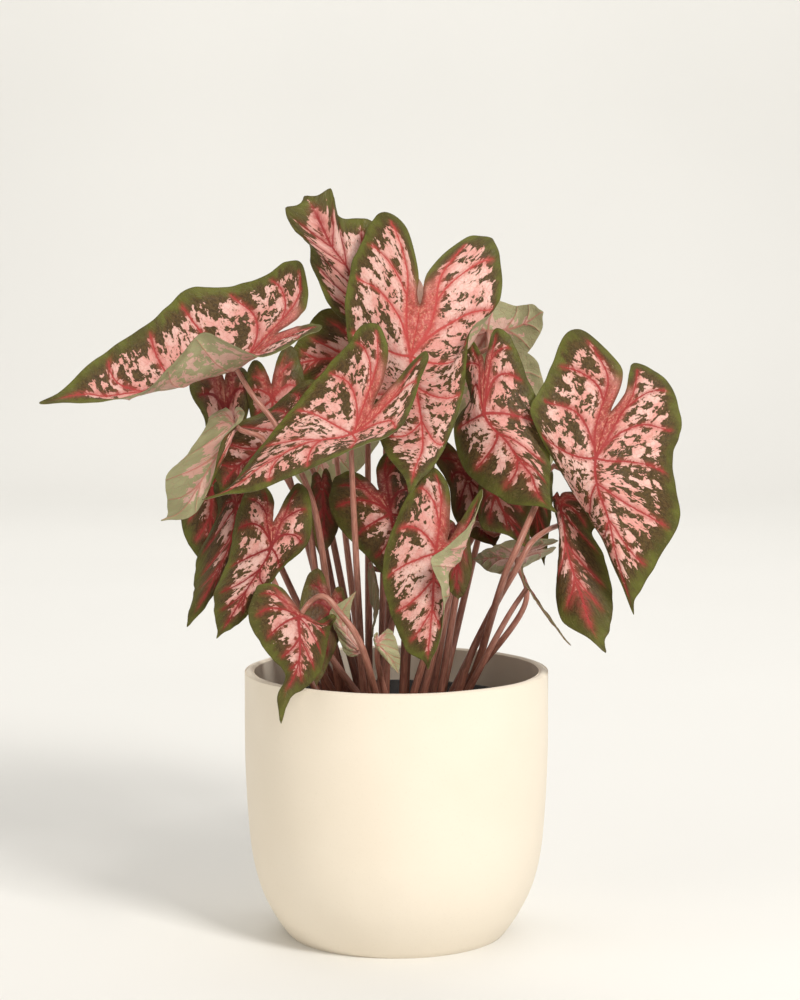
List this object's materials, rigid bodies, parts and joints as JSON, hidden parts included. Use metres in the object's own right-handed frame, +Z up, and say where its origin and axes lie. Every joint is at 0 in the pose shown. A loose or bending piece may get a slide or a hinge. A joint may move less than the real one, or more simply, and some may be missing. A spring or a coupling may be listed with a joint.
{
  "type": "potted caladium plant",
  "caption": "Caladium with arrow-shaped pink and dark green leaves on thin red stalks, growing in a black nursery pot inside a round cream ceramic cover pot.",
  "frame": {"origin": "centre of the pot's flat base, on the surface that the pot stands on", "axes": "+Z up along the pot's axis, -Y towards the viewer, +X to the viewer's right"},
  "size_m": [0.3136, 0.2075, 0.3748],
  "materials": {
    "pot": "matt cream",
    "nursery_pot": "black plastic",
    "soil": "dark crumbly potting mix",
    "leaf": "satin, pink and dark green with red veins",
    "young_leaf": "satin, pale green and pink",
    "stalk": "satin maroon"
  },
  "bodies": {
    "root": {"pot": "pot", "nursery_pot": "nursery_pot", "soil": "soil", "leaf_a": "leaf", "leaf_b": "leaf", "leaf_c": "leaf", "leaf_d": "leaf", "leaf_e": "leaf", "leaf_f": "leaf", "leaf_g": "leaf", "leaf_h": "leaf", "leaf_i": "leaf", "leaf_k": "leaf", "leaf_l": "leaf", "leaf_m": "leaf", "leaf_n": "leaf", "leaf_o": "leaf", "leaf_p": "leaf", "leaf_q": "leaf", "leaf_r": "leaf", "leaf_s": "leaf", "leaf_t": "leaf", "leaf_u": "leaf", "leaf_v": "leaf", "leaf_w1": "leaf", "leaf_w2": "leaf", "leaf_x1": "leaf", "leaf_x2": "leaf", "leaf_y1": "young_leaf", "leaf_y2": "young_leaf", "leaf_y3": "young_leaf", "leaf_z": "leaf", "leaf_mr": "leaf", "leaf_bk1": "leaf", "leaf_bk2": "leaf", "leaf_bk3": "leaf", "stem_a": "stalk", "stem_b": "stalk", "stem_c": "stalk", "stem_d": "stalk", "stem_f": "stalk", "stem_g": "stalk", "stem_h": "stalk", "stem_i": "stalk", "stem_l": "stalk", "stem_m": "stalk", "stem_n": "stalk", "stem_o": "stalk", "stem_p": "stalk", "stem_q": "stalk", "stem_r": "stalk", "stem_u": "stalk", "stem_v": "stalk", "stem_w1": "stalk", "stem_w2": "stalk", "stem_x2": "stalk", "stem_bk1": "stalk", "stem_bk2": "stalk", "stem_bk3": "stalk"}
  },
  "joints": []
}
